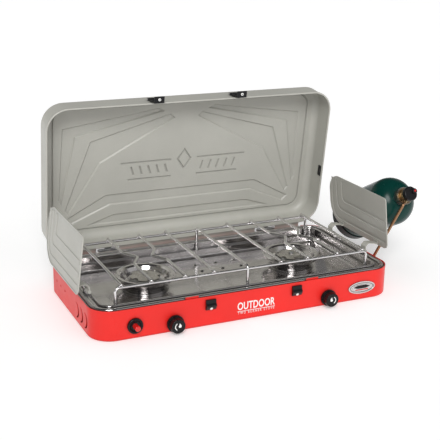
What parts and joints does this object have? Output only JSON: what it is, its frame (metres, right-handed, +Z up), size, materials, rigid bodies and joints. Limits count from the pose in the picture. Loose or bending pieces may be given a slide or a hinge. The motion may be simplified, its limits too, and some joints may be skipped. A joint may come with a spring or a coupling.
{
  "type": "two-burner camp stove",
  "caption": "Suitcase camp stove with hinged lid, folding wind panels, lift-out wire grate, front gas knobs, push igniter and side gas cylinder on a regulator.",
  "frame": {"origin": "centre of the case footprint on the outer face of the case floor, on the ground", "axes": "+X to the cook's right, +Y to the back where the lid hinges, +Z up"},
  "size_m": [0.7372, 0.3673, 0.3651],
  "materials": {
    "red_paint": "satin",
    "tray_steel": "polished",
    "plated_wire": "satin",
    "silver_paint": "satin",
    "zinc_steel": "satin",
    "cast_aluminium": "matte",
    "cap_steel": "satin",
    "brass": "satin",
    "bronze_tube": "satin",
    "regulator_ring": "satin",
    "black_plastic": "satin",
    "white_print": "satin",
    "red_plastic": "gloss",
    "ceramic": "gloss",
    "wire_cover": "matte",
    "green_paint": "gloss"
  },
  "bodies": {
    "case": {"base_case": "red_paint", "drip_tray": "tray_steel", "tray_screws": "zinc_steel", "burner_bowl_left": "tray_steel", "burner_bowl_right": "tray_steel", "burner_head_left": "cast_aluminium", "burner_head_right": "cast_aluminium", "burner_cap_left": "cap_steel", "burner_cap_right": "cap_steel", "burner_screws": "zinc_steel", "venturi_left": "cast_aluminium", "venturi_right": "cast_aluminium", "burner_brackets": "zinc_steel", "valve_left": "brass", "valve_right": "brass", "gas_manifold": "brass", "inlet_fitting": "brass", "igniter_bezel": "black_plastic", "igniter_nut": "black_plastic", "igniter_body": "black_plastic", "electrodes": "ceramic", "ignition_wires": "wire_cover", "badge": "tray_steel", "latch_catches": "black_plastic", "catch_rivets": "white_print", "hinge_leaves_base": "zinc_steel", "hinge_pins": "zinc_steel", "hinge_rivets": "zinc_steel", "pivot_clips": "tray_steel", "tube_nut": "brass", "regulator_tube": "bronze_tube", "regulator_body": "brass", "regulator_collar": "regulator_ring", "regulator_cap": "black_plastic", "cap_dot": "red_plastic"},
    "grate": {"grate": "plated_wire"},
    "lid": {"lid_shell": "silver_paint", "latch_brackets": "zinc_steel", "hinge_leaves_lid": "zinc_steel", "lid_clips": "black_plastic"},
    "latch_left": {"lid_latch_left": "black_plastic", "latch_rivet_left": "white_print"},
    "latch_right": {"lid_latch_right": "black_plastic", "latch_rivet_right": "white_print"},
    "panel_left": {"wind_panel_left": "silver_paint", "panel_arms_left": "silver_paint"},
    "panel_right": {"wind_panel_right": "silver_paint", "panel_arms_right": "silver_paint"},
    "knob_left": {"knob_left": "black_plastic", "knob_mark_left": "white_print", "valve_stem_left": "zinc_steel"},
    "knob_right": {"knob_right": "black_plastic", "knob_mark_right": "white_print", "valve_stem_right": "zinc_steel"},
    "igniter_button": {"igniter_button": "red_plastic"},
    "cylinder": {"gas_cylinder": "green_paint", "cylinder_valve": "zinc_steel", "cylinder_foot": "black_plastic"}
  },
  "joints": [
    {"name": "lid_hinge", "type": "hinge", "parent": "case", "child": "lid", "pos_m": [0, 0.1505, 0.0565], "axis": [-1, 0, 0], "range_deg": [-82.5, 0]},
    {"name": "panel_left_fold", "type": "hinge", "parent": "case", "child": "panel_left", "pos_m": [-0.282, 0, 0.0655], "axis": [0, -1, 0], "range_deg": [-83.2, 0.2]},
    {"name": "panel_right_fold", "type": "hinge", "parent": "case", "child": "panel_right", "pos_m": [0.282, 0, 0.0655], "axis": [0, 1, 0], "range_deg": [-83.2, 0.2]},
    {"name": "knob_left_turn", "type": "hinge", "parent": "case", "child": "knob_left", "pos_m": [-0.1535, -0.155, 0.017], "axis": [0, -1, 0], "range_deg": [0, 150]},
    {"name": "knob_right_turn", "type": "hinge", "parent": "case", "child": "knob_right", "pos_m": [0.1535, -0.155, 0.017], "axis": [0, -1, 0], "range_deg": [0, 150]},
    {"name": "igniter_push", "type": "slide", "parent": "case", "child": "igniter_button", "axis": [0, -1, 0], "range_m": [-0.004, 0]},
    {"name": "latch_left_swing", "type": "hinge", "parent": "lid", "child": "latch_left", "pos_m": [-0.086, 0.13216, 0.35516], "axis": [-1, 0, 0], "range_deg": [0, 50]},
    {"name": "latch_right_swing", "type": "hinge", "parent": "lid", "child": "latch_right", "pos_m": [0.086, 0.13216, 0.35516], "axis": [-1, 0, 0], "range_deg": [0, 50]},
    {"name": "grate_lift", "type": "slide", "parent": "case", "child": "grate", "axis": [0, 0, 1], "range_m": [0, 0.12]},
    {"name": "cylinder_turn", "type": "hinge", "parent": "case", "child": "cylinder", "pos_m": [0.3735, -0.0565, 0.1645], "axis": [0, 0.8829, -0.4695], "continuous": true}
  ],
  "couplings": [
    {"joint": "panel_left_fold", "follows": "lid_hinge", "ratio": 1.0061},
    {"joint": "panel_right_fold", "follows": "lid_hinge", "ratio": 1.0061}
  ]
}
